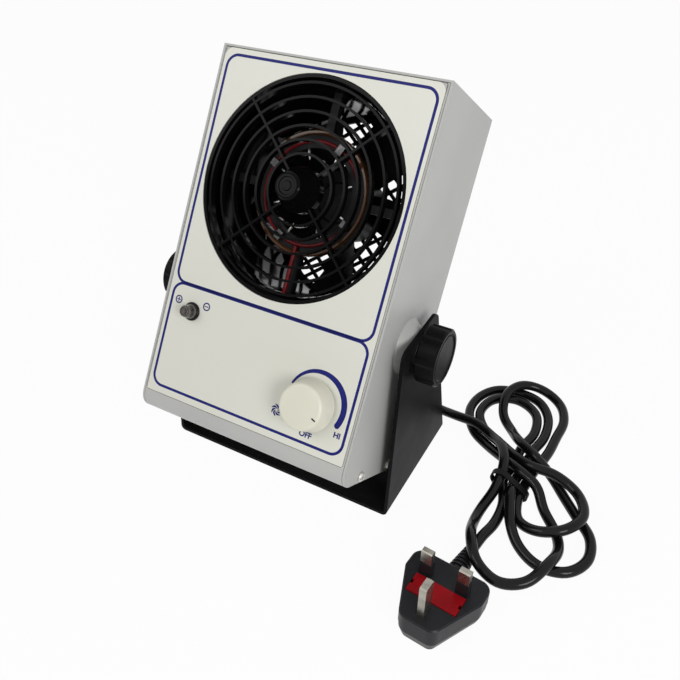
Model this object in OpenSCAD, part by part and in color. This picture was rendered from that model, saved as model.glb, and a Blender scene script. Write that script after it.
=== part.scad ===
// Bench-top ionizing blower on a tilting stand, with its mains lead and plug.
// Front is -Y and up is +Z. The origin lies on the bench, straight below the tilt axis.
// The case is drawn upright in its own frame: x to the right, y back from the front
// panel and z up from the underside. in_case() then leans it back about the tilt axis.

/* [Case] */
// Width over the two side panels
case_w = 140; // [136:1:150]
// Height of the side panels
case_h = 218; // [214:1:230]
// Depth from front panel to back panel
case_d = 82; // [80:1:92]
// Thickness of the painted steel sheet
sheet = 1.2; // [0.8:0.1:1.5]
// Gap between the front cover and the side panels
seam = 0.3; // [0.2:0.1:0.6]
// Outside radius of the bend under the front panel
front_bend_r = 11; // [6:1:13]
// Outside radius of the upright rear corners
rear_corner_r = 4; // [2.5:0.5:7]
// Width of the flanges folded inwards along the front cover
flange_w = 12; // [8:1:15]
// Thickness of the printed front overlay
overlay_t = 0.4; // [0.2:0.1:0.8]
// Bare rim left between the overlay and the edge of the front cover
overlay_rim = 0.8; // [0.5:0.1:2]
// Height of the overlay's lower edge above the underside
overlay_bottom = 12.4; // [12:0.2:16]
// Radius of the overlay's upper corners
overlay_corner_r = 6; // [3:1:10]

/* [Stand] */
// Height of the tilt axis above the bench
pivot_height = 100; // [95:1:115]
// Depth of the tilt axis behind the front panel
pivot_depth = 40; // [36:1:44]
// Height of the tilt axis above the underside of the case
pivot_up = 80; // [76:1:81]
// Backward lean of the case at rest
lean = 35.45; // [20:0.05:40]
// Thickness of the steel bracket
bracket_t = 2; // [1.5:0.5:3]
// Depth of the bracket at the bench
bracket_base = 85; // [76:1:96]
// Depth of the bracket at the top of its arms
bracket_top = 44.3; // [38:0.1:56]
// Height of the bracket's arms above the tilt axis
arm_rise = 13.3; // [10:0.1:20]
// Radius of the arms' upper corners
arm_corner_r = 7; // [4:1:12]
// Outside radius of the bends between base and arms
bracket_bend_r = 3.5; // [3.2:0.1:5]
// Distance from a side panel to the arm beside it
arm_gap = 7.3; // [5:0.1:10]
// Radius of the cone boss where it meets the case
boss_r = 16.7; // [13:0.1:20]
// Radius of the cone boss where it meets the arm
boss_tip_r = 11; // [9:0.5:12.5]

/* [Clamp knobs] */
// Radius of a clamp knob
clamp_r = 17; // [14:0.5:20]
// Thickness of a clamp knob's grip
clamp_t = 12; // [9:0.5:15]
// Number of finger scallops round a clamp knob
clamp_scallops = 8; // [6:1:10]
// Radius of the clamping stud
stud_r = 3; // [2.5:0.5:4]
// Thickness of the washer under a clamp knob
washer_t = 1.5; // [1:0.1:2]

/* [Fan opening] */
// Height of the fan axis above the underside
fan_up = 148.3; // [146:0.1:150]
// Radius of the hole in the front panel
fan_hole_r = 62.3; // [61.5:0.1:63]
// Radius of the smallest guard ring
ring_first_r = 19.6; // [18:0.2:21]
// Spacing of the guard rings
ring_step = 7.6; // [7:0.1:7.7]
// Number of guard rings
ring_count = 6; // [4:1:6]
// Width of a guard ring seen from the front
ring_w = 1.4; // [1:0.1:2]
// Depth of the guard rings
ring_depth = 4; // [3:0.5:4.5]
// Number of spokes in the front guard
spoke_count = 4; // [3:1:6]
// Radius of the guard's nose where it leaves the rings
nose_base_r = 13; // [11:0.5:15]
// Radius of the nose's flat cap
nose_tip_r = 7; // [5:0.5:9]
// Length of the nose ahead of the panel
nose_length = 13.5; // [8:0.5:16]

/* [Fan] */
// Width of the square fan
fan_w = 119; // [117:1:120]
// Depth of the fan
fan_d = 38; // [36:1:38]
// Thinnest wall of the fan beside its bore
bore_wall = 1.9; // [1.5:0.1:3]
// Radius of the impeller hub
hub_r = 21; // [19:0.5:24]
// Gap between blade tips and bore
tip_gap = 1.2; // [0.8:0.1:2.5]
// Number of impeller blades
blade_count = 5; // [3:1:7]
// Thickness of a blade
blade_t = 1.6; // [1.2:0.1:2.2]
// Blade angle to the plane of rotation at the hub
blade_pitch_root = 46; // [40:1:50]
// Blade angle to the plane of rotation at the tip
blade_pitch_tip = 27; // [22:1:34]
// Width of a blade at the hub
blade_chord_root = 27; // [22:1:29]
// Width of a blade at the tip
blade_chord_tip = 41; // [34:1:44]
// Radius of the fan shaft
shaft_r = 1.5; // [1.2:0.1:2]

/* [Ionizer] */
// Middle radius of the amber ring
amber_r = 34; // [33:0.5:36]
// Number of emitter needles
needle_count = 8; // [4:1:12]
// Length of an emitter needle
needle_length = 9; // [7:0.5:10]

/* [Rear guard] */
// Spacing of the lattice bars
lattice_pitch = 7.9; // [7:0.1:10]
// Width of a lattice bar
lattice_w = 2.2; // [1.6:0.1:3]
// Angle of the lattice bars to the horizontal
lattice_angle = 39; // [35:1:45]
// Radius of the opening in the back panel
intake_r = 56; // [52:0.5:57]

/* [Controls] */
// Distance of the speed knob to the right of the middle
speed_x = 40.6; // [37:0.1:44]
// Height of the speed knob above the underside
speed_z = 38.8; // [36:0.1:44]
// Radius of the speed knob's skirt
speed_r = 14.9; // [12:0.1:16]
// Radius of the speed knob's face
speed_face_r = 13; // [10:0.1:13.5]
// Height of the speed knob's face above the panel
speed_height = 14; // [11:0.5:18]
// Distance of the lamp to the left of the middle
lamp_x = 48.6; // [44:0.2:54]
// Height of the lamp above the underside
lamp_z = 65.6; // [60:0.2:70]
// Radius of the lamp's bezel
lamp_r = 5.3; // [4.6:0.1:7]
// Length of the lamp's lens ahead of the panel
lamp_length = 8; // [6:0.5:10]

/* [Mains lead and plug] */
// Diameter of the mains lead
cord_d = 6.4; // [6:0.1:6.8]
// Distance of the lead's exit to the right of the middle
gland_x = 35; // [25:0.5:45]
// Height of the lead's exit above the underside
gland_z = 30; // [26:0.5:36]
// Length of the tapered sleeve on the lead
sleeve_length = 26; // [20:1:32]
// Spacing of the live and neutral pins
pin_gap = 22.2; // [20:0.1:24]
// Height of the plug's pin face above the bench
plug_h = 17; // [15:0.5:20]

/* [Hidden] */
$fn = 96;

// Clearances: faces that slide on each other, shafts in their bores, and pieces laid together
slip = 0.2;
run_fit = 0.05;
loose_fit = 0.3;
cut = 1;

// Case
inner_w = case_w - 2 * sheet;
cover_w = inner_w - 2 * seam;
cover_top = case_h - sheet - seam;
cover_back = case_d - sheet - seam;
overlay_w = cover_w - 2 * overlay_rim;
overlay_top = cover_top;
lamp_thread_r = lamp_r - 1.4;
bushing_r = 4.6;
gland_neck_r = cord_d / 2 + 3.3;
screw_up = 4;
screw_back = 24;
screw_r = 1.4;
screw_head_r = 3;
stud_tab_r = 5;

// Stand
bracket_h = pivot_height + arm_rise;
arm_in = case_w / 2 + arm_gap;
arm_out = arm_in + bracket_t;
stud_hole_r = stud_r + loose_fit;
washer_r = 9;
nut_t = 6;
nut_r = stud_r + 4.5;
knob_base = arm_out + washer_t + slip;
knob_boss_t = 0.7;

// Fan, from the back panel forwards
guard_t = 2.4;
fan_back = case_d - sheet - guard_t;
fan_front = fan_back - fan_d;
flange_t = 4;
fan_hole_pitch = fan_w - 14;
fan_screw_r = 2;
barrel_r = fan_w / 2;
fan_bore_r = barrel_r - bore_wall;
motor_r = hub_r - 1.5;
hub_wall = 2;
hub_front = fan_front + 8;
hub_depth = fan_d - 13.5;
tube_r = shaft_r + 4;
duct_wall = 2.2;
duct_seat = 5;
bell_depth = 11;
duct_stud_r = 1.5;

// Ionizer
amber_w = 2.4;
amber_depth = 5;
amber_front = 12.5;
carrier_r = amber_r - amber_w / 2;
carrier_w = 7.3;
carrier_t = 6;
carrier_front = amber_front + 1.5;
needle_r = 0.75;
wire_r = 1;
wire_ring_r = carrier_r - 3.6;
feed_r = 1.3;
feed_y = carrier_front - feed_r;
module_top = 62;
module_y = front_bend_r + 5;
module_x = -10;
module_w = 52;
module_d = 30;
module_corner_r = 3;

// Plug
pin_length = 17.7;
earth_length = 22.7;
earth_w = 8;
pin_w = 6.35;
pin_t = 4;
pin_bevel = 0.9;
shroud_wall = 0.4;
shroud_length = 9;
plug_x = 131.7;
plug_y = -77.6;
plug_turn = -5;
plug_lean = 4.4;
plug_w = 46.4;
plug_length = 43.8;
plug_top = 12.8;
plug_foot = 6;
plug_corner_r = 6.5;
plug_front = 8.8;
fuse_w = 12.2;
fuse_l = 29.6;
fuse_t = 7;
fuse_lip = 0.4;
fuse_y = -9.5;
fuse_tube_r = 3.15;
fuse_tube_length = 25.4;
notch = 2.6;
relief_down = 9;
relief_dip = 2.5;
relief_r = 6.2;
relief_end_wall = 0.9;
relief_length = 21;
relief_rib = 3;

// Impeller blades: rings of points along a blade, and steps across one
blade_rows = 7;
blade_steps = 8;

// Speed control and knob
speed_lift = 1.8;
pointer_angle = 22;
pointer_start = 9.1;
pointer_length = 2.6;
shaft_big_r = 3;
control_r = 12.5;
control_t = 14;
control_tab_w = 14;

// Mains lead: where it leaves the sleeve, and its way down to the bench
gland_flange_t = 3;
cord_r = cord_d / 2;
cord_sides = 10;
lead_start = case_point(gland_x, case_d + gland_flange_t + sleeve_length, gland_z);
lead_dir = [0, cos(lean), -sin(lean)];
lead_points = [[36.6, 38.4, 11.6], [44, 49, 5.2], [57.8, 55, 3.4]];

// Points of the cord on the bench, from below the sleeve to the plug. It makes three loops behind
// the tie and three before it, laid over each other, and passes the tie four times.
cord_points = [
  [57.8, 55, 3.4], [73.6, 53.4, 3.8], [88, 48.8, 8.2], [100.8, 46.8, 10], [114.4, 41, 9.4],
  [125, 29.8, 15.4], [131, 15.4, 15.8], [131.2, 1.2, 8], [128.4, -11.4, 3.4], [128.4, -25.4, 5.4],
  [132.6, -41.4, 13.2], [141.4, -54.6, 12], [155.2, -58.2, 7.4], [169, -51.8, 8.2], [176.4, -37, 11.2],
  [178.2, -21.8, 6], [173.4, -9.4, 3.4], [161.4, 3.6, 4.4], [153.2, 13.4, 10.2], [138.2, 19.8, 12.4],
  [121.4, 31, 6.6], [111, 38.4, 3.4], [100.2, 45.6, 3.2], [90.6, 62.4, 3.2], [92, 79.2, 3.2],
  [100.6, 90.8, 3.2], [114.8, 94.8, 3.2], [130.2, 91.8, 3.4], [140.4, 79.8, 3.2], [143.6, 60.8, 3.2],
  [140.8, 45.4, 3.2], [140.6, 30, 3.2], [139.4, 17, 5.2], [141.2, 1.4, 10.4], [146.8, -15.2, 7.8],
  [156.2, -27.2, 3.8], [171, -35, 3.2], [186.2, -31.8, 3.2], [194.4, -19.2, 3.2], [191.8, -3.6, 3.2],
  [180.8, 7.8, 3.2], [169.2, 19.6, 3.2], [158.6, 29.2, 5.2], [145.2, 35.2, 11.6], [132.2, 43.8, 10.4],
  [123.2, 56.4, 4], [112.8, 67.6, 4.6], [109.4, 82.4, 10], [116, 96.6, 9.8], [129.8, 102, 5.8],
  [143.8, 95.8, 3.4], [150.8, 81, 3.4], [150.6, 64.8, 3.2], [150.2, 49.4, 3.2], [147.6, 34.2, 3.2],
  [146.2, 19.2, 4.8], [145.8, 1.6, 4.4], [151, -11.2, 4.2], [163.6, -16.6, 8.4], [178, -10.8, 11.8],
  [184.4, 4.4, 10.8], [176.8, 20.2, 9], [160.8, 26.4, 11.4], [145.2, 26, 12], [131.4, 32.4, 9.4],
  [120.4, 42.2, 4.4], [107.2, 49.4, 3.2], [97.6, 63.4, 3.2], [101.2, 79.6, 3.2], [116, 87, 3.2],
  [131.6, 79.8, 3.2], [136.8, 61.8, 3.2], [133.4, 45.2, 3.2], [134, 29.8, 3.2], [132.4, 13.4, 4.8],
  [138.8, -3.2, 4], [139.2, -20.2, 3.8], [136.4, -31.2, 4.2], [134.6, -44.2, 4.5]];
lead_end_dir = unit(cord_points[1] - lead_points[1]);
cord_end_dir = [-0.087, -0.989, 0.12];

// The tie, and the runs it is drawn round: x, z and how much wider than the lead it is there
tie_y = 8;
tie_w = 4;
tie_t = 0.8;
tie_runs = [[131.9, 12.4, 1.9], [133.9, 4.4, 0.3], [146.3, 4.4, 0.3]];

function along(from, to, t) = from + (to - from) * t;
function unit(v) = v / norm(v);

// The case, leaning back about the tilt axis
module in_case()
  translate([0, 0, pivot_height]) rotate([-lean, 0, 0])
    translate([0, -pivot_depth, -pivot_up]) children();

// Round work whose axis runs back through the case from (x, y, z)
module facing_back(x, y, z) translate([x, y, z]) rotate([-90, 0, 0]) children();

// Round work whose axis runs forwards out of the panel from (x, y, z)
module facing_front(x, y, z) translate([x, y, z]) rotate([90, 0, 0]) children();

// An outline in y and z, stretched evenly across the case to the width w
module across(w) translate([-w / 2, 0, 0]) rotate([90, 0, 90]) linear_extrude(w) children();

// Copies on the left and the right side
module both_sides() for (side = [0, 1]) mirror([side, 0, 0]) children();

// Copies at the four corners of a square with the side p, in the plane of the panel
module four_corners(p) for (x = [-p / 2, p / 2], z = [-p / 2, p / 2]) translate([x, 0, z]) children();

// A solid turned from an outline of radius and height
module turned() rotate_extrude() children();

// Hexagon nut: distance from the middle to a flat, thickness and bore
module hex_nut(flat_r, t, bore_r) difference() {
  cylinder(r = flat_r / cos(30), h = t, $fn = 6);
  translate([0, 0, -cut]) cylinder(r = bore_r, h = t + 2 * cut);
}

// Pan head screw with a cross recess; its head stands on z = 0 and its shank points down
module pan_screw(head_r, shank_r, length) {
  head_t = head_r * 0.6;
  difference() {
    turned() polygon([[0, 0], [head_r, 0], [head_r, head_t * 0.45], [head_r * 0.9, head_t * 0.8],
      [head_r * 0.7, head_t], [0, head_t]]);
    for (a = [0, 90]) rotate([0, 0, a]) translate([-head_r * 0.55, -head_r * 0.1, head_t * 0.4])
      cube([head_r * 1.1, head_r * 0.2, head_t]);
  }
  translate([0, 0, -length]) cylinder(r = shank_r, h = length);
}

// A round tube swept along points that never run straight up; sides is its number of faces
function ring_at(p, dir, r, sides) = let (
    side = unit(cross([0, 0, 1], dir)), up = cross(dir, side))
  [for (k = [0:sides - 1]) let (a = 360 * (k + 0.5) / sides) p + r * (cos(a) * side + sin(a) * up)];
function swept_points(path, r, sides, first, last) = let (n = len(path)) [for (i = [0:n - 1])
  let (dir = i == 0 ? first : i == n - 1 ? last : unit(path[i + 1] - path[i - 1]))
  each ring_at(path[i], dir, r, sides)];
module swept_tube(path, r, sides, first, last) {
  n = len(path);
  polyhedron(swept_points(path, r, sides, first, last), concat(
    [for (i = [0:n - 2], k = [0:sides - 1]) let (a = i * sides + k, b = i * sides + (k + 1) % sides)
      each [[a, b, b + sides], [a, b + sides, a + sides]]],
    [for (k = [1:sides - 2]) [0, k + 1, k]],
    [for (k = [1:sides - 2]) [(n - 1) * sides, (n - 1) * sides + k, (n - 1) * sides + k + 1]]));
}

// ---------------------------------------------------------------- stand

// Outline of one arm from the side: a trapezoid whose upper corners are round
module arm_outline() {
  slope = atan((bracket_base - bracket_top) / 2 / bracket_h);
  centre_z = bracket_h - arm_corner_r;
  centre_y = bracket_base / 2 - centre_z * tan(slope) - arm_corner_r / cos(slope);
  side_y = centre_y + arm_corner_r * cos(slope);
  side_z = centre_z + arm_corner_r * sin(slope);
  polygon([[-bracket_base / 2, 0], [bracket_base / 2, 0], [side_y, side_z], [centre_y, bracket_h],
    [-centre_y, bracket_h], [-side_y, side_z]]);
  for (side = [-1, 1]) translate([side * centre_y, centre_z]) circle(arm_corner_r);
}

// Outline of the bent strip from the front, filled below z = top, with round lower corners
module strip_outline(half, bottom, r, top) {
  translate([-half + r, bottom]) square([2 * (half - r), top - bottom]);
  translate([-half, bottom + r]) square([2 * half, top - bottom - r]);
  for (side = [-1, 1]) translate([side * (half - r), bottom + r]) circle(r);
}

module bracket() color([0.16, 0.16, 0.17]) difference() {
  intersection() {
    translate([0, bracket_base / 2, 0]) rotate([90, 0, 0]) linear_extrude(bracket_base) difference() {
      strip_outline(arm_out, 0, bracket_bend_r, bracket_h);
      strip_outline(arm_in, bracket_t, bracket_bend_r - bracket_t, bracket_h + cut);
    }
    across(2 * arm_out) arm_outline();
  }
  translate([-arm_out - cut, 0, pivot_height]) rotate([0, 90, 0])
    cylinder(r = stud_hole_r, h = 2 * (arm_out + cut));
}

// ---------------------------------------------------------------- case

// Side view of the case, a given distance inside its outer faces
module side_outline(inset = 0) {
  r = front_bend_r - inset;
  translate([inset + r, inset]) square([case_d - 2 * inset - r, case_h - 2 * inset]);
  translate([inset, inset + r]) square([case_d - 2 * inset, case_h - 2 * inset - r]);
  translate([inset + r, inset + r]) circle(r);
}

// Top view of the case with round rear corners, starting at y = front
module plan_outline(inset, front) {
  half = case_w / 2 - inset;
  r = rear_corner_r - inset;
  back = case_d - inset;
  translate([-half, front]) square([2 * half, back - r - front]);
  translate([-half + r, front]) square([2 * (half - r), back - front]);
  for (side = [-1, 1]) translate([side * (half - r), back - r]) circle(r);
}

// The holes for the case screws on both sides
module case_screw_places() both_sides() for (y = [screw_back, case_d - 16])
  translate([case_w / 2, y, screw_up]) rotate([0, 90, 0]) children();

// The places of the studs that hold the fan duct
module duct_stud_places() for (a = [45:90:315])
  facing_back((fan_hole_r + 6) * cos(a), sheet, fan_up + (fan_hole_r + 6) * sin(a)) children();

module front_cover() color([0.87, 0.87, 0.83]) in_case() difference() {
  intersection() {
    union() {
      across(cover_w) intersection() {
        difference() {
          side_outline();
          side_outline(sheet);
        }
        square([cover_back, cover_top]);
      }
      for (side = [-1, 1]) translate([side * (cover_w - sheet) / 2, 0, 0]) across(sheet) intersection() {
        difference() {
          side_outline(sheet / 2);
          translate([sheet + flange_w, sheet + flange_w]) square([case_d, case_h]);
        }
        square([cover_back, cover_top]);
      }
      translate([-cover_w / 2, sheet / 2, cover_top - sheet]) cube([cover_w, flange_w, sheet]);
      duct_stud_places() cylinder(r = duct_stud_r, h = 9);
    }
    linear_extrude(case_h) plan_outline(sheet + seam, -cut);
  }
  facing_back(0, -cut, fan_up) cylinder(r = fan_hole_r, h = sheet + 2 * cut);
  facing_back(-lamp_x, -cut, lamp_z) cylinder(r = lamp_thread_r + loose_fit, h = sheet + 2 * cut);
  facing_back(speed_x, -cut, speed_z) cylinder(r = bushing_r + loose_fit, h = sheet + 2 * cut);
  case_screw_places() translate([0, 0, -10]) cylinder(r = screw_r, h = 12);
}

module rear_shell() color([0.8, 0.8, 0.79]) in_case() difference() {
  intersection() {
    across(case_w) side_outline();
    linear_extrude(case_h) plan_outline(0, 0);
  }
  translate([0, 0, -cut]) linear_extrude(case_h - sheet + cut) plan_outline(sheet, -cut);
  facing_back(0, case_d - sheet - cut, fan_up) cylinder(r = intake_r, h = sheet + 2 * cut);
  translate([0, case_d, fan_up]) four_corners(fan_hole_pitch)
    facing_back(0, -sheet - cut, 0) cylinder(r = fan_screw_r + loose_fit, h = sheet + 2 * cut);
  facing_back(gland_x, case_d - sheet - cut, gland_z)
    cylinder(r = gland_neck_r + run_fit, h = sheet + 2 * cut);
  translate([-case_w / 2 - cut, pivot_depth, pivot_up]) rotate([0, 90, 0])
    cylinder(r = stud_hole_r, h = case_w + 2 * cut);
  case_screw_places() translate([0, 0, -10]) cylinder(r = screw_r, h = 12);
}

// The printed overlay: its upper corners are round
module front_overlay() color([0.9, 0.89, 0.85]) in_case() difference() {
  half = overlay_w / 2;
  r = overlay_corner_r;
  rotate([90, 0, 0]) linear_extrude(overlay_t) {
    translate([-half, overlay_bottom]) square([overlay_w, overlay_top - overlay_bottom - r]);
    translate([-half + r, overlay_bottom]) square([overlay_w - 2 * r, overlay_top - overlay_bottom]);
    for (side = [-1, 1]) translate([side * (half - r), overlay_top - r]) circle(r);
  }
  facing_back(0, -overlay_t - cut, fan_up) cylinder(r = fan_hole_r, h = overlay_t + 2 * cut);
  facing_back(-lamp_x, -overlay_t - cut, lamp_z)
    cylinder(r = lamp_thread_r + loose_fit, h = overlay_t + 2 * cut);
  facing_back(speed_x, -overlay_t - cut, speed_z)
    cylinder(r = bushing_r + loose_fit, h = overlay_t + 2 * cut);
}

module case_screws() color([0.75, 0.74, 0.7]) in_case() case_screw_places()
  pan_screw(screw_head_r, screw_r, 6);

// ---------------------------------------------------------------- front guard and duct

// The guard: a rim in the panel's hole, thin deep rings, spokes and a hollow nose
module front_grille() color([0.13, 0.13, 0.13]) in_case() facing_front(0, 0, fan_up) {
  rim_r = fan_hole_r - loose_fit;
  difference() {
    translate([0, 0, -duct_seat]) cylinder(r = rim_r, h = duct_seat);
    translate([0, 0, -duct_seat - cut]) cylinder(r = rim_r - 1.8, h = duct_seat + 2 * cut);
  }
  for (k = [0:ring_count - 1]) difference() {
    r = ring_first_r + k * ring_step;
    translate([0, 0, -ring_depth]) cylinder(r = r + ring_w / 2, h = ring_depth);
    translate([0, 0, -ring_depth - cut]) cylinder(r = r - ring_w / 2, h = ring_depth + 2 * cut);
  }
  for (k = [0:spoke_count - 1]) rotate([0, 0, 45 + k * 360 / spoke_count])
    translate([nose_base_r - 2, -ring_w / 2, -duct_seat]) cube([rim_r - nose_base_r + 1, ring_w, duct_seat]);
  wall = 2;
  lip = 1;
  turned() polygon([[nose_base_r - wall, -duct_seat], [nose_base_r, -duct_seat], [nose_base_r, 0],
    [nose_tip_r + lip * 0.7, nose_length - lip], [nose_tip_r, nose_length - lip * 0.3],
    [nose_tip_r - lip, nose_length], [nose_tip_r * 0.72, nose_length], [nose_tip_r * 0.66, nose_length - 0.6],
    [nose_tip_r * 0.4, nose_length - 0.6], [nose_tip_r * 0.34, nose_length], [0, nose_length],
    [0, nose_length - wall], [nose_tip_r - wall, nose_length - wall], [nose_base_r - wall, 0]]);
}

// Inner outline of the duct: a round mouth that narrows smoothly to the fan's bore
function bell_curve() = [for (a = [0:10:90])
  [fan_bore_r + (fan_hole_r - 2.3 - fan_bore_r) * (1 - sin(a)), duct_seat + bell_depth * (1 - cos(a))]];

// The duct between front panel and fan, with a flange on the panel and a seat for the guard
module fan_duct() color([0.2, 0.2, 0.2]) in_case() {
  seat_r = fan_hole_r + 0.2;
  outer_r = seat_r + duct_wall;
  difference() {
    facing_back(0, 0, fan_up) {
      turned() polygon(concat([[seat_r, sheet], [seat_r, duct_seat]], bell_curve(),
        [[fan_bore_r, fan_front], [fan_bore_r + duct_wall, fan_front],
        [fan_bore_r + duct_wall, duct_seat + bell_depth], [outer_r, duct_seat + 2], [outer_r, sheet]]));
      for (a = [45:90:315]) rotate([0, 0, a]) translate([outer_r - 1, -stud_tab_r, sheet])
        cube([8, 2 * stud_tab_r, duct_wall]);
    }
    duct_stud_places() cylinder(r = duct_stud_r + loose_fit, h = 9);
    translate([0, feed_y, fan_up - fan_hole_r - 10]) cylinder(r = feed_r + loose_fit, h = 20);
  }
}

module duct_nuts() color([0.75, 0.75, 0.72]) in_case() duct_stud_places() translate([0, 0, duct_wall])
  hex_nut(2.8, 2.4, duct_stud_r);

// ---------------------------------------------------------------- fan

// The fan frame: two square flanges, a round barrel, and a motor plate on four struts
module fan_frame() color([0.12, 0.12, 0.13]) in_case() difference() {
  plate_front = fan_back - 2.5;
  union() {
    for (y = [fan_front, fan_back - flange_t]) facing_back(0, y, fan_up) difference() {
      r = 6;
      linear_extrude(flange_t) {
        square([fan_w - 2 * r, fan_w], center = true);
        square([fan_w, fan_w - 2 * r], center = true);
        for (x = [-1, 1], z = [-1, 1]) translate([x * (fan_w / 2 - r), z * (fan_w / 2 - r)]) circle(r);
      }
      translate([0, 0, -cut]) cylinder(r = fan_bore_r, h = flange_t + 2 * cut);
    }
    facing_back(0, fan_front, fan_up) difference() {
      cylinder(r = barrel_r, h = fan_d);
      translate([0, 0, -cut]) cylinder(r = fan_bore_r, h = fan_d + 2 * cut);
    }
    facing_back(0, plate_front, fan_up) {
      cylinder(r = motor_r + 1, h = 2.5);
      for (a = [0:90:270]) rotate([0, 0, a]) translate([motor_r, -2.5, 0])
        cube([fan_bore_r - motor_r + 0.5, 5, 2.5]);
    }
    facing_back(0, hub_front + hub_wall + 3, fan_up) cylinder(r = tube_r, h = plate_front - hub_front - 4);
  }
  facing_back(0, fan_front, fan_up) cylinder(r = shaft_r + run_fit, h = fan_d - 1);
  translate([0, 0, fan_up]) four_corners(fan_hole_pitch) facing_back(0, fan_front - cut, 0)
    cylinder(r = fan_screw_r + loose_fit, h = fan_d + 2 * cut);
}

// The wound stator: its slotted stack sits on the bearing tube
module fan_stator() color([0.55, 0.33, 0.16]) in_case() difference() {
  facing_back(0, hub_front + hub_wall + 5, fan_up) difference() {
    stack = fan_back - 2.5 - hub_front - hub_wall - 5;
    cylinder(r = hub_r - hub_wall - 1.5, h = stack);
    translate([0, 0, -cut]) cylinder(r = tube_r, h = stack + 2 * cut);
    for (a = [0:60:300]) rotate([0, 0, a]) translate([tube_r + 3, -1.2, -cut])
      cube([hub_r, 2.4, stack + 2 * cut]);
  }
}

// Outline of a blade at the radius r: a thin cambered section laid round the cylinder
function blade_point(t, u, side) = let (
    chord = along(blade_chord_root, blade_chord_tip, t), pitch = along(blade_pitch_root, blade_pitch_tip, t),
    r = along(hub_r - 0.8, fan_bore_r - tip_gap, t),
    half_t = side * blade_t / 2 * (1 - 0.75 * pow(2 * abs(u), 3)),
    rise = 0.09 * chord * (1 - 4 * u * u) + half_t,
    s = u * chord * cos(pitch) - rise * sin(pitch), h = u * chord * sin(pitch) + rise * cos(pitch),
    a = s / r * 180 / PI + 14 * t)
  [r * cos(a), r * sin(a), h];
function blade_row(t) = concat([for (j = [0:blade_steps]) blade_point(t, j / blade_steps - 0.5, 1)],
  [for (j = [blade_steps:-1:0]) blade_point(t, j / blade_steps - 0.5, -1)]);
module blade() {
  n = 2 * (blade_steps + 1);
  last = (blade_rows - 1) * n;
  polyhedron([for (i = [0:blade_rows - 1]) each blade_row(i / (blade_rows - 1))], concat(
    [for (i = [0:blade_rows - 2], k = [0:n - 1]) let (a = i * n + k, b = i * n + (k + 1) % n)
      each [[a, b, b + n], [a, b + n, a + n]]],
    [for (k = [0:blade_steps - 1]) each [[k, n - 1 - k, k + 1], [k + 1, n - 1 - k, n - 2 - k]]],
    [for (k = [0:blade_steps - 1]) each [[last + k, last + k + 1, last + n - 1 - k],
      [last + k + 1, last + n - 2 - k, last + n - 1 - k]]]));
}

module impeller() color([0.1, 0.1, 0.11]) in_case() facing_back(0, hub_front, fan_up) {
  difference() {
    turned() polygon([[0, 0.8], [hub_r * 0.55, 0.8], [hub_r * 0.6, 0], [hub_r - 2, 0], [hub_r, 2],
      [hub_r, hub_depth], [hub_r - hub_wall, hub_depth], [hub_r - hub_wall, hub_wall + 1],
      [4, hub_wall + 1], [4, hub_wall + 2.5], [0, hub_wall + 2.5]]);
    translate([0, 0, hub_wall]) cylinder(r = shaft_r, h = hub_depth);
  }
  for (k = [0:blade_count - 1]) rotate([0, 0, k * 360 / blade_count]) translate([0, 0, hub_depth / 2 + 1])
    blade();
}

module impeller_shaft() color([0.8, 0.8, 0.8]) in_case()
  facing_back(0, hub_front + hub_wall, fan_up) cylinder(r = shaft_r, h = hub_depth);

module fan_nuts() color([0.75, 0.75, 0.72]) in_case() translate([0, 0, fan_up]) four_corners(fan_hole_pitch)
  facing_front(0, fan_back - flange_t, 0) hex_nut(3.5, 3.2, fan_screw_r);

// ---------------------------------------------------------------- rear guard

// The lattice guard: a ring with four ears, filled with two sets of crossing bars
module rear_guard() color([0.11, 0.11, 0.12]) in_case() {
  ring_r = intake_r + 4;
  facing_back(0, fan_back, fan_up) {
    difference() {
      union() {
        cylinder(r = ring_r, h = guard_t);
        for (a = [45:90:315]) rotate([0, 0, a]) {
          translate([intake_r, -5, 0]) cube([fan_hole_pitch / sqrt(2) - intake_r, 10, guard_t]);
          translate([fan_hole_pitch / sqrt(2), 0, 0]) cylinder(r = 5, h = guard_t);
        }
      }
      translate([0, 0, -cut]) cylinder(r = intake_r - 0.5, h = guard_t + 2 * cut);
      for (a = [45:90:315]) rotate([0, 0, a]) translate([fan_hole_pitch / sqrt(2), 0, -cut])
        cylinder(r = fan_screw_r + loose_fit, h = guard_t + 2 * cut);
    }
    bars = floor(intake_r / lattice_pitch);
    linear_extrude(guard_t / 2) intersection() {
      circle(intake_r + 1);
      for (a = [-lattice_angle, lattice_angle], k = [-bars:bars])
        rotate(a) translate([-intake_r - 2, k * lattice_pitch - lattice_w / 2])
          square([2 * intake_r + 4, lattice_w]);
    }
  }
}

module guard_screws() color([0.75, 0.74, 0.7]) in_case() translate([0, 0, fan_up])
  four_corners(fan_hole_pitch) facing_back(0, case_d, 0)
    pan_screw(3.6, fan_screw_r, sheet + guard_t + flange_t + 4);

// ---------------------------------------------------------------- ionizer

// The pale carrier: a grooved ring on four arms that reach the duct
module emitter_carrier() color([0.74, 0.73, 0.68]) in_case() difference() {
  facing_back(0, 0, fan_up) difference() {
    union() {
      translate([0, 0, carrier_front]) cylinder(r = carrier_r, h = carrier_t);
      for (a = [0:90:270]) rotate([0, 0, a]) translate([carrier_r - 2, -2.5, amber_front + amber_depth])
        cube([fan_bore_r - carrier_r + 1.9, 5, carrier_t - 2]);
    }
    translate([0, 0, carrier_front - cut]) cylinder(r = carrier_r - carrier_w, h = carrier_t + 2 * cut);
    translate([0, 0, carrier_front]) turned() translate([wire_ring_r, 0]) circle(wire_r);
  }
  needle_places() translate([0, 0, -needle_length]) cylinder(r = needle_r, h = needle_length);
}

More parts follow.
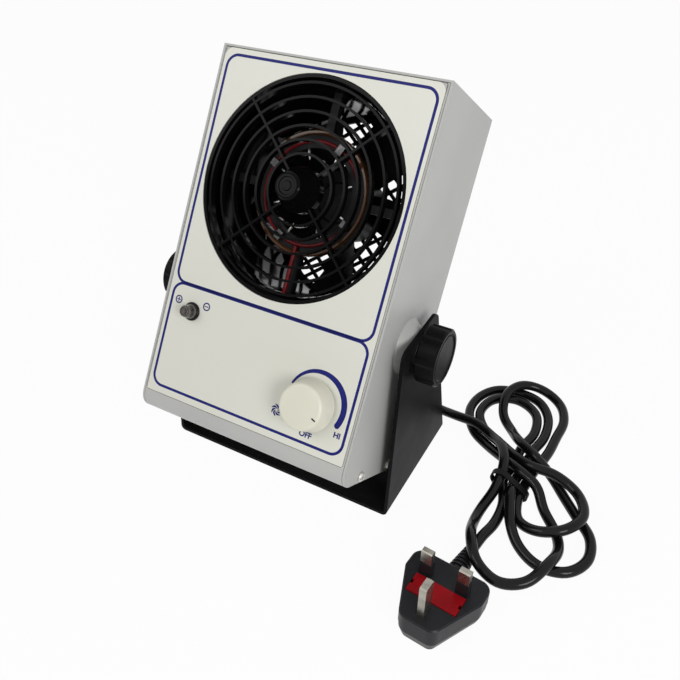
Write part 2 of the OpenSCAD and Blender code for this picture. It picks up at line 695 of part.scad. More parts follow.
// The amber ring round the carrier, with a notch for the wire's feed
module amber_ring() color([0.8, 0.5, 0.16]) in_case() difference() {
  facing_back(0, amber_front, fan_up) turned()
    polygon([[carrier_r, 0.6], [carrier_r + 0.6, 0], [carrier_r + amber_w - 0.6, 0],
      [carrier_r + amber_w, 0.6], [carrier_r + amber_w, amber_depth], [carrier_r, amber_depth]]);
  translate([0, feed_y, fan_up - carrier_r - amber_w - cut])
    cylinder(r = feed_r + loose_fit, h = amber_w + 2 * cut);
}

// Needles point at the middle of the air stream; z = 0 is where they are held
module needle_places() for (k = [0:needle_count - 1])
  translate([0, carrier_front + carrier_t / 2 + 0.6, fan_up]) rotate([0, (k + 0.5) * 360 / needle_count, 0])
    translate([0, 0, carrier_r - carrier_w + 3]) children();

module emitter_needles() color([0.82, 0.82, 0.84]) in_case() needle_places() rotate([180, 0, 0]) turned()
  polygon([[0, 0], [needle_r, 0], [needle_r, needle_length - 2.5], [0, needle_length]]);

module wire_clips() color([0.45, 0.45, 0.46]) in_case() facing_back(0, carrier_front, fan_up) difference() {
  for (a = [25:90:295]) rotate([0, 0, a]) translate([wire_ring_r - 2.6, -2, -2.4]) cube([5.2, 4, 2.4]);
  turned() translate([wire_ring_r, 0]) circle(wire_r);
}

// Red high voltage wire: a ring laid in the carrier's groove, and its feed from the module
module high_voltage_wire() color([0.72, 0.07, 0.09]) in_case() {
  facing_back(0, carrier_front, fan_up) turned() translate([wire_ring_r, 0]) circle(wire_r);
  translate([0, feed_y, module_top]) cylinder(r = feed_r, h = fan_up - wire_ring_r - wire_r - run_fit - module_top);
}

module high_voltage_module() color([0.08, 0.09, 0.1]) in_case() {
  r = module_corner_r;
  half = module_w / 2;
  translate([module_x, module_y, sheet]) linear_extrude(module_top - sheet) {
    translate([-half, 0]) square([module_w, module_d]);
    translate([-half + r, -r]) square([module_w - 2 * r, module_d + 2 * r]);
    for (x = [-half + r, half - r], y = [0, module_d]) translate([x, y]) circle(r);
  }
}

// ---------------------------------------------------------------- controls

module lamp_bezel() color([0.1, 0.1, 0.1]) in_case() facing_front(-lamp_x, -overlay_t, lamp_z) turned()
  polygon([[lamp_thread_r - 1, -9], [lamp_thread_r, -9], [lamp_thread_r, 0], [lamp_r, 0], [lamp_r, 0.9],
    [lamp_r - 0.5, 1.4], [lamp_thread_r + 0.4, 1.6], [lamp_thread_r + 0.4, 0.6], [lamp_thread_r - 1, 0.6]]);

// The stepped lens: it stands in the bezel and narrows towards its domed end
module lamp_lens() color([0.35, 0.2, 0.2]) in_case() facing_front(-lamp_x, -overlay_t, lamp_z) turned() {
  base_r = lamp_thread_r + 0.4;
  tip_r = base_r - 0.9;
  polygon([[0, 0.6], [base_r, 0.6], [base_r, 2.4], [base_r - 0.3, 2.6], [tip_r, lamp_length - 1],
    [tip_r - 0.3, lamp_length - 0.3], [tip_r - 1, lamp_length], [tip_r - 1.3, lamp_length - 0.3],
    [tip_r - 1.9, lamp_length - 0.3], [tip_r - 2.1, lamp_length], [0, lamp_length]]);
}

module lamp_nut() color([0.75, 0.75, 0.72]) in_case() facing_back(-lamp_x, sheet, lamp_z)
  hex_nut(lamp_thread_r + 2, 2.2, lamp_thread_r);

// The speed control behind the panel: its bushing comes through and carries the nut
module speed_control() color([0.2, 0.25, 0.3]) in_case() facing_back(speed_x, sheet, speed_z) difference() {
  union() {
    cylinder(r = control_r, h = control_t);
    translate([0, 0, -sheet - overlay_t - 3]) cylinder(r = bushing_r, h = sheet + overlay_t + 4);
    translate([-control_tab_w / 2, 8, 4]) cube([control_tab_w, 9, 2]);
  }
  translate([0, 0, -sheet - overlay_t - 3 - cut]) cylinder(r = shaft_big_r + run_fit, h = control_t);
}

module speed_control_nut() color([0.75, 0.75, 0.72]) in_case()
  facing_front(speed_x, -overlay_t, speed_z) hex_nut(6.5, 2.2, bushing_r);

module speed_shaft() color([0.8, 0.8, 0.8]) in_case()
  facing_front(speed_x, sheet + 6, speed_z) cylinder(r = shaft_big_r, h = sheet + 6 + speed_height - 3);

// The speed knob: a tapered skirt with a round shoulder, hollow underneath, and a pointer groove
module speed_knob() color([0.86, 0.84, 0.76]) in_case() facing_front(speed_x, 0, speed_z) difference() {
  shoulder = 2;
  side_lean = atan((speed_r - speed_face_r) / (speed_height - speed_lift));
  turned() polygon(concat([[0, speed_lift], [speed_r - 0.5, speed_lift], [speed_r, speed_lift + 0.5]],
    [for (a = [side_lean:(90 - side_lean) / 6:90.01])
      [speed_face_r - shoulder + shoulder * cos(a), speed_height - shoulder + shoulder * sin(a)]],
    [[0, speed_height]]));
  translate([0, 0, speed_lift - cut]) cylinder(r = speed_r - 3.5, h = 4 + cut);
  translate([0, 0, speed_lift]) cylinder(r = shaft_big_r, h = speed_height - speed_lift - 3);
  rotate([0, 0, -pointer_angle]) translate([pointer_start, -0.45, speed_height - 0.4])
    cube([pointer_length, 0.9, cut]);
}

// ---------------------------------------------------------------- clamp

// Solids along the tilt axis on one side: z = 0 lies in the middle plane of the case
module on_tilt_axis(side) translate([0, 0, pivot_height]) rotate([0, side * 90, 0]) children();

// Cone bosses that space the arms from the case
module side_bosses() color([0.55, 0.55, 0.56]) for (side = [-1, 1]) on_tilt_axis(side) difference() {
  translate([0, 0, case_w / 2]) cylinder(r1 = boss_r, r2 = boss_tip_r, h = arm_gap - slip);
  translate([0, 0, case_w / 2 - cut]) cylinder(r = stud_hole_r, h = arm_gap + 2 * cut);
}

// Weld nuts inside the side panels
module clamp_nuts() color([0.7, 0.7, 0.68]) for (side = [-1, 1]) on_tilt_axis(side)
  translate([0, 0, inner_w / 2 - nut_t]) rotate([0, 0, side * lean]) hex_nut(nut_r - 0.5, nut_t, stud_r + run_fit);

module clamp_washers() color([0.78, 0.78, 0.76]) for (side = [-1, 1]) on_tilt_axis(side) difference() {
  translate([0, 0, arm_out]) cylinder(r = washer_r, h = washer_t);
  translate([0, 0, arm_out - cut]) cylinder(r = stud_hole_r, h = washer_t + 2 * cut);
}

module clamp_stud(side) color([0.78, 0.78, 0.76]) on_tilt_axis(side)
  translate([0, 0, inner_w / 2 - nut_t - 2]) cylinder(r = stud_r, h = knob_base + 9 - inner_w / 2 + nut_t + 2);

// A clamp knob: a scalloped grip with a raised line round its face, on a low boss
module clamp_knob(side) color([0.1, 0.1, 0.1]) on_tilt_axis(side) translate([0, 0, knob_base]) difference() {
  grip_top = knob_boss_t + clamp_t;
  scallop_r = 5;
  edge = 1;
  turned() polygon([[0, 0], [washer_r, 0], [washer_r, knob_boss_t], [clamp_r - edge, knob_boss_t],
    [clamp_r, knob_boss_t + edge], [clamp_r, grip_top - edge], [clamp_r - edge, grip_top],
    [clamp_r - 2.6, grip_top], [clamp_r - 2.9, grip_top - 0.5], [clamp_r - 3.4, grip_top - 0.5],
    [clamp_r - 3.7, grip_top], [clamp_r - 4.2, grip_top - 0.4], [0, grip_top - 0.4]]);
  for (k = [0:clamp_scallops - 1]) rotate([0, 0, (k + 0.5) * 360 / clamp_scallops])
    translate([clamp_r + scallop_r - 1.1, 0, knob_boss_t - cut / 2]) cylinder(r = scallop_r, h = clamp_t + cut);
  translate([0, 0, -cut]) cylinder(r = stud_r, h = 9 + cut);
}
module clamp_stud_left() clamp_stud(-1);
module clamp_stud_right() clamp_stud(1);
module clamp_knob_left() clamp_knob(-1);
module clamp_knob_right() clamp_knob(1);

// ---------------------------------------------------------------- mains lead

// The gland snaps into the back panel and holds the lead
module cord_gland() color([0.08, 0.08, 0.08]) in_case() facing_back(gland_x, case_d, gland_z) difference() {
  turned() polygon([[0, -sheet - 6], [gland_neck_r - 0.8, -sheet - 6], [gland_neck_r, -sheet - 4],
    [gland_neck_r, 0], [gland_neck_r + 3, 0], [gland_neck_r + 3, gland_flange_t - 0.8],
    [gland_neck_r + 2.2, gland_flange_t], [0, gland_flange_t]]);
  translate([0, 0, -sheet - 6 - cut]) cylinder(r = cord_r, h = sheet + 7);
}

// The ribbed, tapered sleeve round the lead, just outside the gland
module gland_sleeve() color([0.08, 0.08, 0.08]) in_case()
  facing_back(gland_x, case_d + gland_flange_t, gland_z) difference() {
    cylinder(r1 = cord_r + 2.6, r2 = cord_r + 0.9, h = sleeve_length);
    for (z = [4:4:sleeve_length - 3]) translate([0, 0, z]) difference() {
      cylinder(r = cord_r + 4, h = 1.4);
      translate([0, 0, -cut]) cylinder(r = cord_r + 0.7, h = 1.4 + 2 * cut);
    }
  }

// The lead leaves the sleeve in line with it, sinks to the bench and runs off to the right
function case_point(x, y, z) = [x, (y - pivot_depth) * cos(lean) + (z - pivot_up) * sin(lean),
  pivot_height - (y - pivot_depth) * sin(lean) + (z - pivot_up) * cos(lean)];

module cord_lead() color([0.07, 0.07, 0.07])
  swept_tube(concat([lead_start], lead_points), cord_r, cord_sides, lead_dir, lead_end_dir);

module mains_cord() color([0.07, 0.07, 0.07])
  swept_tube(cord_points, cord_r, cord_sides, lead_end_dir, cord_end_dir);

// The tie: one flat band drawn round the four runs of the bundle
module tie_outline(r) hull() for (run = tie_runs) translate([run[0], run[1]]) circle(r + run[2]);
module cord_tie() color([0.05, 0.05, 0.05]) translate([0, tie_y + tie_w / 2, 0]) rotate([90, 0, 0])
  linear_extrude(tie_w) difference() {
    tie_outline(cord_r + tie_t);
    tie_outline(cord_r);
  }

// ---------------------------------------------------------------- plug

// The plug lies on its back, its face a little lower on the cord's side. In its own frame
// x runs from the neutral to the live pin, y towards the cord and z out of the face.
module in_plug() translate([plug_x, plug_y, plug_h]) rotate([0, 0, plug_turn]) rotate([-plug_lean, 0, 0]) children();

// Outline of the face: wide beside the pins, narrowing towards the earth pin
module plug_outline(inset) {
  r = plug_corner_r - inset;
  side = plug_w / 2 - plug_corner_r;
  hull() for (m = [-1, 1]) {
    translate([m * side, plug_top - plug_corner_r]) circle(r);
    translate([m * side, 0]) circle(r);
    translate([m * plug_foot, plug_top - plug_length + plug_corner_r]) circle(r);
  }
}

// A moulded body: the front half, a parting groove and the narrower back half, cut flat on the bench
module plug_body() color([0.07, 0.07, 0.08]) difference() {
  in_plug() difference() {
    union() {
      hull() {
        translate([0, 0, -1]) linear_extrude(1) plug_outline(0.8);
        translate([0, 0, -plug_front]) linear_extrude(plug_front - 0.8) plug_outline(0);
      }
      translate([0, 0, -plug_front - 1]) linear_extrude(2) plug_outline(1.2);
      hull() {
        translate([0, 0, -plug_front - 4]) linear_extrude(3.4) plug_outline(0.4);
        translate([0, 0, -plug_h - 6]) linear_extrude(1) plug_outline(3.6);
      }
    }
    translate([-fuse_l / 2 - loose_fit, fuse_y - fuse_w / 2 - loose_fit, -fuse_t - loose_fit])
      cube([fuse_l + 2 * loose_fit, fuse_w + 2 * loose_fit, fuse_t + cut + loose_fit]);
  }
  translate([plug_x - plug_w, plug_y - plug_w, -plug_w]) cube([2 * plug_w, 2 * plug_w, plug_w]);
}

module plug_pin(w, t, length, x, y) in_plug() translate([x - w / 2, y - t / 2, 0]) difference() {
  cube([w, t, length]);
  for (side = [-1, 1]) translate([w / 2, t / 2 + side * t / 2, length]) rotate([45, 0, 0])
    cube([w + cut, pin_bevel, pin_bevel], center = true);
}
module live_pin() color([0.8, 0.78, 0.72]) plug_pin(pin_w, pin_t, pin_length, pin_gap / 2, 0);
module neutral_pin() color([0.8, 0.78, 0.72]) plug_pin(pin_w, pin_t, pin_length, -pin_gap / 2, 0);
module earth_pin() color([0.8, 0.78, 0.72]) plug_pin(pin_t, earth_w, earth_length, 0, -pin_gap);

// Insulating sleeves round the roots of the live and neutral pins
module pin_shrouds() color([0.07, 0.07, 0.08]) in_plug() for (side = [-1, 1])
  translate([side * pin_gap / 2, 0, 0]) difference() {
    translate([-pin_w / 2 - shroud_wall, -pin_t / 2 - shroud_wall, 0])
      cube([pin_w + 2 * shroud_wall, pin_t + 2 * shroud_wall, shroud_length]);
    translate([-pin_w / 2, -pin_t / 2, -cut]) cube([pin_w, pin_t, shroud_length + 2 * cut]);
  }

// The fuse carrier pulls straight out of the face. A notch at each end takes a screwdriver.
module fuse_carrier() color([0.75, 0.1, 0.1]) in_plug() translate([0, fuse_y, -fuse_t]) difference() {
  translate([-fuse_l / 2, -fuse_w / 2, 0]) cube([fuse_l, fuse_w, fuse_t + fuse_lip]);
  for (side = [-1, 1]) translate([side * fuse_l / 2 - notch / 2, -notch / 2, fuse_t - notch])
    cube([notch, notch, 2 * notch]);
  translate([-fuse_tube_length / 2 - loose_fit, 0, fuse_tube_r]) rotate([0, 90, 0])
    cylinder(r = fuse_tube_r + run_fit, h = fuse_tube_length + 2 * loose_fit);
}
module fuse() color([0.85, 0.85, 0.82]) in_plug()
  translate([-fuse_tube_length / 2, fuse_y, fuse_tube_r - fuse_t]) rotate([0, 90, 0])
    cylinder(r = fuse_tube_r, h = fuse_tube_length);

// The ribbed relief grows out of the plug's edge and narrows to the cord
module plug_sleeve() color([0.08, 0.08, 0.08]) in_plug() translate([0, plug_top, -relief_down])
  rotate([-90 - relief_dip, 0, 0]) difference() {
    translate([0, 0, loose_fit]) cylinder(r1 = relief_r, r2 = cord_r + relief_end_wall, h = relief_length);
    for (z = [relief_rib:relief_rib:relief_length - relief_rib]) translate([0, 0, z]) difference() {
      cylinder(r = relief_r + cut, h = relief_rib / 2);
      translate([0, 0, -cut]) cylinder(r = cord_r + relief_end_wall - 0.3, h = relief_rib);
    }
  }

bracket();
front_cover();
rear_shell();
front_overlay();
front_grille();
fan_duct();
duct_nuts();
fan_frame();
fan_stator();
fan_nuts();
impeller();
impeller_shaft();
emitter_carrier();
amber_ring();
emitter_needles();
wire_clips();
high_voltage_wire();
high_voltage_module();
rear_guard();
guard_screws();
case_screws();
lamp_bezel();
lamp_lens();
lamp_nut();
speed_control();
speed_control_nut();
speed_shaft();
speed_knob();
side_bosses();
clamp_nuts();
clamp_washers();
clamp_stud_left();
clamp_stud_right();
clamp_knob_left();
clamp_knob_right();
cord_gland();
gland_sleeve();
cord_lead();
mains_cord();
cord_tie();
plug_body();
plug_sleeve();
live_pin();
neutral_pin();
earth_pin();
pin_shrouds();
fuse_carrier();
fuse();
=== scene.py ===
# %% [markdown]
# # A bench-top ionizing blower, dressed in Blender
# The construction comes in as a fixed frame: every CAD solid is already at its real size and place.
# This script adds the camera and light, the mains lead, the printed marks and the finish of every surface.

# %% Load the frame
import math
import bpy
import bmesh
from mathutils import Matrix, Vector


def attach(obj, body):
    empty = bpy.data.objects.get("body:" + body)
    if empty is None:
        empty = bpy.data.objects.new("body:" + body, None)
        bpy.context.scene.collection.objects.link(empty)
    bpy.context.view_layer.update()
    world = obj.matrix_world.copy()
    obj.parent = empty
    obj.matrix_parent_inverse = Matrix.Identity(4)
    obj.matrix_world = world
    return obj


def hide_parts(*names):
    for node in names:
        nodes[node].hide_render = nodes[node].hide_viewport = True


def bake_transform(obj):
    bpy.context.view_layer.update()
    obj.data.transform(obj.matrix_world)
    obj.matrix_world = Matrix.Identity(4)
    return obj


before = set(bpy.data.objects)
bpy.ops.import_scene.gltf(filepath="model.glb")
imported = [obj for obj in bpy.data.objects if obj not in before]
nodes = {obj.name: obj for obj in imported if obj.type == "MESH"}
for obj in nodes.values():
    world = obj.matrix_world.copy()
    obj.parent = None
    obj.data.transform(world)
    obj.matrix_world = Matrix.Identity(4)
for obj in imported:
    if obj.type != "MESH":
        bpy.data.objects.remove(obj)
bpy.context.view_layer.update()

MM = 0.001

# %% [markdown]
# ## Stage, camera and light
# The camera stands to the front right of the blower and looks down on it. The backdrop is plain white,
# and the floor keeps a faint share of the shadow, as a product picture taken in a light tent does.

# %% Camera
def add_camera(place_mm, turn_deg, lens_mm):
    data = bpy.data.cameras.new("camera")
    data.sensor_width = 36
    data.lens = lens_mm
    data.clip_start = 0.01
    camera = bpy.data.objects.new("camera", data)
    camera.location = Vector(place_mm) * MM
    camera.rotation_euler = [math.radians(a) for a in turn_deg]
    bpy.context.collection.objects.link(camera)
    bpy.context.scene.camera = camera
    return camera

camera = add_camera((207.3, -298.1, 375.9), (50.43, 2.01, 29.61), 39.95)
print("camera at", [round(v, 3) for v in camera.location])

# %% [markdown]
# ## The route of the mains lead
# A mains lead is a fixed length of something stiff. Its route is a list of points in millimetres: out of
# the gland, down to the bench, three loops on each side of the tie, and on to the plug. A centripetal
# Catmull-Rom curve runs through the points, because it never swings out between them.

# %% Points of the lead, in millimetres
LEAD = [
  [35, 28.8, 18.1], [36.6, 38.4, 11.6], [44, 49, 5.2], [57.8, 55, 3.4]]
CORD = [
  [57.8, 55, 3.4], [73.6, 53.4, 3.8], [88, 48.8, 8.2], [100.8, 46.8, 10], [114.4, 41, 9.4],
  [125, 29.8, 15.4], [131, 15.4, 15.8], [131.2, 1.2, 8], [128.4, -11.4, 3.4], [128.4, -25.4, 5.4],
  [132.6, -41.4, 13.2], [141.4, -54.6, 12], [155.2, -58.2, 7.4], [169, -51.8, 8.2], [176.4, -37, 11.2],
  [178.2, -21.8, 6], [173.4, -9.4, 3.4], [161.4, 3.6, 4.4], [153.2, 13.4, 10.2], [138.2, 19.8, 12.4],
  [121.4, 31, 6.6], [111, 38.4, 3.4], [100.2, 45.6, 3.2], [90.6, 62.4, 3.2], [92, 79.2, 3.2],
  [100.6, 90.8, 3.2], [114.8, 94.8, 3.2], [130.2, 91.8, 3.4], [140.4, 79.8, 3.2], [143.6, 60.8, 3.2],
  [140.8, 45.4, 3.2], [140.6, 30, 3.2], [139.4, 17, 5.2], [141.2, 1.4, 10.4], [146.8, -15.2, 7.8],
  [156.2, -27.2, 3.8], [171, -35, 3.2], [186.2, -31.8, 3.2], [194.4, -19.2, 3.2], [191.8, -3.6, 3.2],
  [180.8, 7.8, 3.2], [169.2, 19.6, 3.2], [158.6, 29.2, 5.2], [145.2, 35.2, 11.6], [132.2, 43.8, 10.4],
  [123.2, 56.4, 4], [112.8, 67.6, 4.6], [109.4, 82.4, 10], [116, 96.6, 9.8], [129.8, 102, 5.8],
  [143.8, 95.8, 3.4], [150.8, 81, 3.4], [150.6, 64.8, 3.2], [150.2, 49.4, 3.2], [147.6, 34.2, 3.2],
  [146.2, 19.2, 4.8], [145.8, 1.6, 4.4], [151, -11.2, 4.2], [163.6, -16.6, 8.4], [178, -10.8, 11.8],
  [184.4, 4.4, 10.8], [176.8, 20.2, 9], [160.8, 26.4, 11.4], [145.2, 26, 12], [131.4, 32.4, 9.4],
  [120.4, 42.2, 4.4], [107.2, 49.4, 3.2], [97.6, 63.4, 3.2], [101.2, 79.6, 3.2], [116, 87, 3.2],
  [131.6, 79.8, 3.2], [136.8, 61.8, 3.2], [133.4, 45.2, 3.2], [134, 29.8, 3.2], [132.4, 13.4, 4.8],
  [138.8, -3.2, 4], [139.2, -20.2, 3.8], [136.4, -31.2, 4.2], [134.6, -44.2, 4.5]]
CORD_R = 3.2 * MM

def smooth_route(points, step=2.4):
    """A Catmull-Rom curve through the points, as points about one step apart."""
    p = [Vector(q) for q in points]
    p = [2 * p[0] - p[1]] + p + [2 * p[-1] - p[-2]]
    out = []
    for a, b, c, d in zip(p, p[1:], p[2:], p[3:]):
        t0, t1 = 0.0, (b - a).length ** 0.5
        t2 = t1 + (c - b).length ** 0.5
        t3 = t2 + (d - c).length ** 0.5
        count = max(2, round((c - b).length / step))
        for i in range(count):
            t = t1 + (t2 - t1) * i / count
            ab = a.lerp(b, (t - t0) / (t1 - t0))
            bc = b.lerp(c, (t - t1) / (t2 - t1))
            cd = c.lerp(d, (t - t2) / (t3 - t2))
            abc = ab.lerp(bc, (t - t0) / (t2 - t0))
            bcd = bc.lerp(cd, (t - t1) / (t3 - t1))
            out.append(abc.lerp(bcd, (t - t1) / (t2 - t1)))
    out.append(p[-2])
    return [q * MM for q in out]

def relax(points, rounds):
    """Take the small kinks out of a route without moving its ends."""
    for _ in range(rounds):
        points = ([points[0], points[1]] + [a * 0.25 + b * 0.5 + c * 0.25
                  for a, b, c in zip(points[1:], points[2:], points[3:])] + [points[-1]])
    return points

def tube(name, path, radius, sides):
    """A closed round tube along the path, its rings turned as little as can be."""
    mesh = bpy.data.meshes.new(name)
    verts, faces = [], []
    side = Vector((0, 0, 1)).cross(path[1] - path[0]).normalized()
    for i, here in enumerate(path):
        ahead = (path[min(i + 1, len(path) - 1)] - path[max(i - 1, 0)]).normalized()
        side = (side - ahead * side.dot(ahead)).normalized()
        up = ahead.cross(side)
        for k in range(sides):
            a = 2 * math.pi * k / sides
            verts.append(here + (side * math.cos(a) + up * math.sin(a)) * radius)
    for i in range(len(path) - 1):
        for k in range(sides):
            n = (k + 1) % sides
            faces.append((i * sides + k, i * sides + n, (i + 1) * sides + n, (i + 1) * sides + k))
    faces.append(tuple(reversed(range(sides))))
    faces.append(tuple(range((len(path) - 1) * sides, len(path) * sides)))
    mesh.from_pydata(verts, [], faces)
    for polygon in mesh.polygons:
        polygon.use_smooth = len(polygon.vertices) == 4
    piece = bpy.data.objects.new(name, mesh)
    bpy.context.collection.objects.link(piece)
    return piece

route = relax(smooth_route(LEAD + CORD[1:]), 2)
route_length = sum((b - a).length for a, b in zip(route, route[1:]))
mains_lead = tube("mains_lead", route, CORD_R, 20)
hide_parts("cord_lead", "mains_cord")
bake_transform(mains_lead)
print("mains lead:", round(route_length, 3), "m in", len(route), "rings")

# %% The case's own frame
LEAN = math.radians(35.45)
PIVOT_HEIGHT = 100 * MM
PIVOT_IN_CASE = Vector((0, 40, 80)) * MM
CASE = (Matrix.Translation((0, 0, PIVOT_HEIGHT)) @ Matrix.Rotation(-LEAN, 4, "X")
        @ Matrix.Translation(-PIVOT_IN_CASE))
UPRIGHT = Matrix.Rotation(math.radians(90), 4, "X")
FACE_Y = -0.4 * MM
INK_T = 0.05 * MM

def on_panel(x, z, lift=0.0):
    """Place and turn from the XY plane to the panel's face."""
    return CASE @ Matrix.Translation((x * MM, FACE_Y - lift, z * MM)) @ UPRIGHT

LAMP = on_panel(-48.6, 65.6)
KNOB_AT = (40.6, 38.8)
KNOB_FACE = 13.6
print("case frame leans back by", round(math.degrees(LEAN), 2), "degrees")

# %% [markdown]
# ## Shader maths
# A procedural finish is a small sum: a base colour, a pattern, and how far the pattern shows. The class
# below lets such a sum be written as one line of Python. It wraps a socket, and each operator adds the
# Math node that does it.

# %% Shader maths
class Value:
    def __init__(self, tree, socket):
        self.tree = tree
        self.socket = socket

    def math(self, operation, *others):
        return Finish.add(self.tree, "ShaderNodeMath", {"operation": operation}, [self, *others])

    def __add__(self, other): return self.math("ADD", other)
    def __radd__(self, other): return self.math("ADD", other)
    def __sub__(self, other): return self.math("SUBTRACT", other)
    def __rsub__(self, other):
        return Finish.add(self.tree, "ShaderNodeMath", {"operation": "SUBTRACT"}, [other, self])
    def __mul__(self, other): return self.math("MULTIPLY", other)
    def __rmul__(self, other): return self.math("MULTIPLY", other)
    def __truediv__(self, other): return self.math("DIVIDE", other)
    def __rtruediv__(self, other):
        return Finish.add(self.tree, "ShaderNodeMath", {"operation": "DIVIDE"}, [other, self])
    def __gt__(self, other): return self.math("GREATER_THAN", other)

def linear(r, g, b):
    """A colour given as 0 to 255 screen values, in the linear light that shaders use."""
    return [((c / 255) / 12.92 if c <= 10 else ((c / 255 + 0.055) / 1.055) ** 2.4) for c in (r, g, b)] + [1]

class Finish:
    """A material whose tree is built with a few short calls."""
    def __init__(self, name, colour, roughness, **constants):
        self.material = bpy.data.materials.new(name)
        self.material.use_nodes = True
        self.tree = self.material.node_tree
        self.shader = self.tree.nodes["Principled BSDF"]
        self.shader.inputs["Base Color"].default_value = linear(*colour)
        self.shader.inputs["Roughness"].default_value = roughness
        for socket, value in constants.items():
            self.shader.inputs[socket.replace("_", " ")].default_value = value
        self.place = Value(self.tree, self.tree.nodes.new("ShaderNodeTexCoord").outputs["Object"])

    @staticmethod
    def add(tree, kind, settings, inputs, output=0):
        node = tree.nodes.new(kind)
        for key, value in settings.items():
            setattr(node, key, value)
        items = inputs.items() if isinstance(inputs, dict) else enumerate(inputs)
        for key, value in items:
            if isinstance(value, Value):
                tree.links.new(value.socket, node.inputs[key])
            else:
                node.inputs[key].default_value = value
        return Value(tree, node.outputs[output])

    def node(self, kind, settings, inputs, output=0):
        return self.add(self.tree, kind, settings, inputs, output)

    def noise(self, scale, detail=3.0, stretch=None):
        place = self.place
        if stretch:
            place = self.node("ShaderNodeMapping", {}, {"Vector": self.place, "Scale": stretch})
        return self.node("ShaderNodeTexNoise", {}, {"Vector": place, "Scale": scale, "Detail": detail})

    def local(self, place):
        """Object coordinates seen from another place and turn, for patterns that follow one part's axis."""
        back = place.inverted()
        return self.node("ShaderNodeMapping", {}, {"Vector": self.place, "Location": back.translation,
                                                  "Rotation": back.to_euler()})

    def rings(self, place, scale):
        """Turned rings round a part's own axis."""
        return self.node("ShaderNodeTexWave", {"wave_type": "RINGS", "rings_direction": "Z"},
                         {"Vector": self.local(place), "Scale": scale})

    def ramp(self, value, low, high):
        return self.node("ShaderNodeMapRange", {}, {"Value": value, "From Min": low, "From Max": high})

    def tint(self, factor, colour_a, colour_b):
        mix = self.tree.nodes.new("ShaderNodeMix")
        mix.data_type = "RGBA"
        self.tree.links.new(factor.socket, mix.inputs[0])
        for slot, colour in ((6, colour_a), (7, colour_b)):
            if isinstance(colour, Value):
                self.tree.links.new(colour.socket, mix.inputs[slot])
            else:
                mix.inputs[slot].default_value = linear(*colour)
        return Value(self.tree, mix.outputs[2])

    def set(self, socket, value):
        self.tree.links.new(value.socket, self.shader.inputs[socket])
        return self

    def bump(self, height, strength, distance):
        out = self.node("ShaderNodeBump", {}, {"Height": height, "Strength": strength, "Distance": distance})
        return self.set("Normal", out)

# %% [markdown]
# ## Painted and printed sheet metal
# The case is folded steel with a baked white enamel. Such paint has a faint orange peel about a millimetre
# across and a colour that is not quite even. The front carries a printed film, a little warmer, with a
# silkier face. The bracket is black enamel.

# %% Case, overlay and bracket
def enamel(name, colour, other, roughness, peel, shine):
    finish = Finish(name, colour, roughness, Specular_IOR_Level=shine)
    cloud = finish.ramp(finish.noise(14.0, 2.0), 0.35, 0.65)
    finish.set("Base Color", finish.tint(cloud, colour, other))
    finish.set("Roughness", finish.noise(60.0) * 0.12 + (roughness - 0.06))
    finish.bump(finish.noise(900.0, 2.0), peel, 0.0002)
    return finish.material

white_enamel = enamel("white_enamel", (185, 185, 183), (191, 191, 188), 0.42, 0.25, 0.4)
black_enamel = enamel("black_enamel", (15, 15, 16), (21, 21, 23), 0.46, 0.5, 0.05)

overlay = Finish("printed_overlay", (226, 225, 215), 0.4, Coat_Weight=0.25, Coat_Roughness=0.2)
film_cloud = overlay.ramp(overlay.noise(9.0, 2.0), 0.3, 0.7)
overlay.set("Base Color", overlay.tint(film_cloud, (223, 223, 211), (227, 227, 217)))
overlay.set("Roughness", overlay.noise(200.0) * 0.1 + 0.34)
overlay.bump(overlay.noise(2600.0, 1.0), 0.12, 0.0001)

ink = Finish("navy_ink", (22, 27, 108), 0.45, Specular_IOR_Level=0.2)
ink.set("Base Color", ink.tint(ink.ramp(ink.noise(500.0), 0.3, 0.7), (20, 25, 102), (27, 33, 118)))
print("enamels, overlay and ink ready")

# %% [markdown]
# ## Moulded plastics and rubber
# The fan parts are glossy black styrene, the knobs and the plug are duller, with a spark-eroded grain.
# The lead's sheath is soft vinyl: black and slightly waxy.

# %% Plastics
def moulding(name, colour, other, roughness, grain, grain_scale, coat=0.0, shine=0.5):
    finish = Finish(name, colour, roughness, Coat_Weight=coat, Coat_Roughness=0.12, Specular_IOR_Level=shine)
    finish.set("Base Color", finish.tint(finish.ramp(finish.noise(40.0), 0.35, 0.7), colour, other))
    finish.set("Roughness", finish.noise(160.0) * (roughness * 0.4) + roughness * 0.8)
    finish.bump(finish.noise(grain_scale, 2.0), grain, 0.0001)
    return finish.material

gloss_black = moulding("gloss_black", (8, 8, 9), (12, 12, 13), 0.09, 0.02, 700.0, shine=0.06)
satin_black = moulding("satin_black", (14, 14, 15), (19, 19, 20), 0.42, 0.5, 1500.0, shine=0.12)
knob_black = moulding("knob_black", (10, 10, 11), (15, 15, 16), 0.34, 0.5, 1800.0, shine=0.06)
plug_black = moulding("plug_black", (22, 23, 26), (29, 30, 33), 0.38, 0.6, 1700.0, shine=0.2)
cord_vinyl = moulding("cord_vinyl", (14, 14, 15), (20, 20, 22), 0.16, 0.1, 900.0, shine=0.2)
cream = moulding("cream_knob", (225, 223, 204), (231, 229, 212), 0.36, 0.15, 1200.0, 0.15)
fuse_red = moulding("fuse_red", (146, 8, 18), (164, 14, 26), 0.4, 0.35, 1400.0, shine=0.15)
# A mid grey for the thin ring round the film's edges: painted shadow, the dark line that the film's edge
# casts.
painted_edge_shade = moulding("shadow_line_grey", (104, 104, 100), (124, 124, 118), 0.6, 0.1, 900.0, shine=0.1)
wire_red = moulding("wire_red", (96, 9, 16), (118, 14, 22), 0.35, 0.2, 900.0, shine=0.2)
control_case = moulding("control_case", (52, 60, 74), (62, 70, 84), 0.4, 0.3, 900.0)
